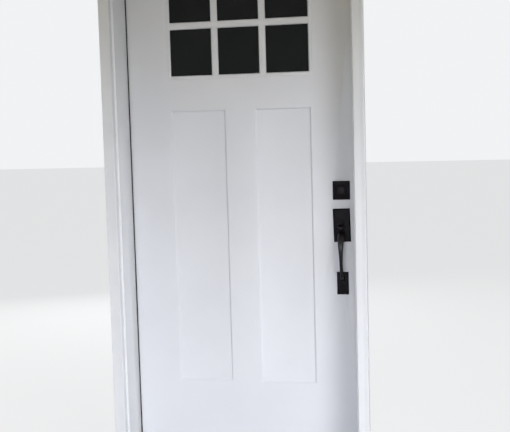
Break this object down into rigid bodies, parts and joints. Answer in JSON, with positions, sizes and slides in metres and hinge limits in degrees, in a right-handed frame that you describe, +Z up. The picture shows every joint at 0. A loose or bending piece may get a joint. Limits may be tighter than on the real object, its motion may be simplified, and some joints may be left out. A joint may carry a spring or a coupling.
{
  "type": "front door",
  "caption": "Panelled front door with tall sunk panels under small glazed lites, hung in a rabbeted frame with brick mould, sill, seals and a black thumb-latch handle set with deadbolt.",
  "frame": {"origin": "middle of the sill's underside, halfway through the frame's depth with its sill nose", "axes": "+Z up, -Y out of the house towards a caller, +X to the right as a caller sees the door, hinges at -X"},
  "size_m": [0.9894, 0.2859, 2.1095],
  "materials": {
    "white_paint": "white semi-gloss paint on wood",
    "door_paint": "white satin paint on a moulded glass-fibre skin",
    "lite_paint": "white satin paint on moulded plastic",
    "timber": "bare softwood",
    "foam": "rigid foam",
    "glass": "clear",
    "spacer_metal": "dull",
    "sill_metal": "mill finish, worn",
    "sill_composite": "brown composite",
    "seal": "soft, matt",
    "hinge_steel": "satin",
    "lock_steel": "satin",
    "black_trim": "matt black",
    "cylinder_metal": "dark bronze"
  },
  "bodies": {
    "frame": {"hinge_jamb": "white_paint", "strike_jamb": "white_paint", "head_jamb": "white_paint", "brickmould_left": "white_paint", "brickmould_right": "white_paint", "brickmould_head": "white_paint", "sill_deck": "sill_metal", "sill_base": "sill_composite", "sill_cap": "sill_composite", "weatherstrip_left": "seal", "weatherstrip_right": "seal", "weatherstrip_head": "seal", "corner_pads": "seal", "bottom_hinge_jamb_leaf": "hinge_steel", "middle_hinge_jamb_leaf": "hinge_steel", "top_hinge_jamb_leaf": "hinge_steel", "hinge_pins": "hinge_steel", "jamb_hinge_screws": "hinge_steel", "latch_strike": "lock_steel", "deadbolt_strike": "lock_steel", "strike_screws": "lock_steel", "frame_screws": "lock_steel"},
    "door": {"exterior_skin": "door_paint", "interior_skin": "door_paint", "hinge_stile": "timber", "lock_stile": "timber", "top_rail": "timber", "bottom_rail": "timber", "lock_block": "timber", "foam_core": "foam", "outer_glass_pane": "glass", "inner_glass_pane": "glass", "glass_spacer": "spacer_metal", "exterior_lite_frame": "lite_paint", "interior_lite_frame": "lite_paint", "door_sweep": "seal", "bottom_hinge_door_leaf": "hinge_steel", "middle_hinge_door_leaf": "hinge_steel", "top_hinge_door_leaf": "hinge_steel", "door_hinge_screws": "hinge_steel", "latch_case": "lock_steel", "deadbolt_case": "lock_steel", "faceplate_screws": "lock_steel", "deadbolt_escutcheon": "black_trim", "lock_cylinder": "cylinder_metal", "deadbolt_rose": "black_trim", "deadbolt_screws": "black_trim", "upper_handle_plate": "black_trim", "bow_grip": "black_trim", "lower_handle_plate": "black_trim", "knob_rose": "black_trim", "handle_screws": "black_trim"},
    "latch_bolt": {"latch_bolt": "lock_steel"},
    "thumb_piece": {"thumb_piece": "black_trim"},
    "inside_knob": {"inside_knob": "black_trim"},
    "deadbolt_bolt": {"deadbolt_bolt": "lock_steel"},
    "thumb_turn": {"thumb_turn": "black_trim"},
    "key_plug": {"key_plug": "cylinder_metal"}
  },
  "joints": [
    {"name": "door_swing", "type": "hinge", "parent": "frame", "child": "door", "pos_m": [-0.4588, 0.11645, 1.056], "axis": [0, 0, 1], "range_deg": [0, 160]},
    {"name": "thumb_press", "type": "hinge", "parent": "door", "child": "thumb_piece", "pos_m": [0.38735, 0.0696, 0.9604], "axis": [1, 0, 0], "range_deg": [0, 20], "stiffness_Nm_per_rad": 1.2, "springref_deg": -11.46},
    {"name": "latch_slide", "type": "slide", "parent": "door", "child": "latch_bolt", "axis": [-1, 0, 0], "range_m": [0, 0.0127]},
    {"name": "knob_turn", "type": "hinge", "parent": "door", "child": "inside_knob", "pos_m": [0.38735, 0.13955, 0.9544], "axis": [0, 1, 0], "range_deg": [-45, 45], "stiffness_Nm_per_rad": 0.3},
    {"name": "thumb_turn_turn", "type": "hinge", "parent": "door", "child": "thumb_turn", "pos_m": [0.38735, 0.12955, 1.0941], "axis": [0, 1, 0], "range_deg": [0, 90]},
    {"name": "deadbolt_slide", "type": "slide", "parent": "door", "child": "deadbolt_bolt", "axis": [1, 0, 0], "range_m": [0, 0.0254]},
    {"name": "key_turn", "type": "hinge", "parent": "door", "child": "key_plug", "pos_m": [0.38735, 0.0651, 1.0941], "axis": [0, 1, 0], "range_deg": [-90, 90]}
  ],
  "couplings": [
    {"joint": "latch_slide", "follows": "thumb_press", "m_per_rad": 0.03636},
    {"joint": "deadbolt_slide", "follows": "thumb_turn_turn", "m_per_rad": 0.01617}
  ]
}
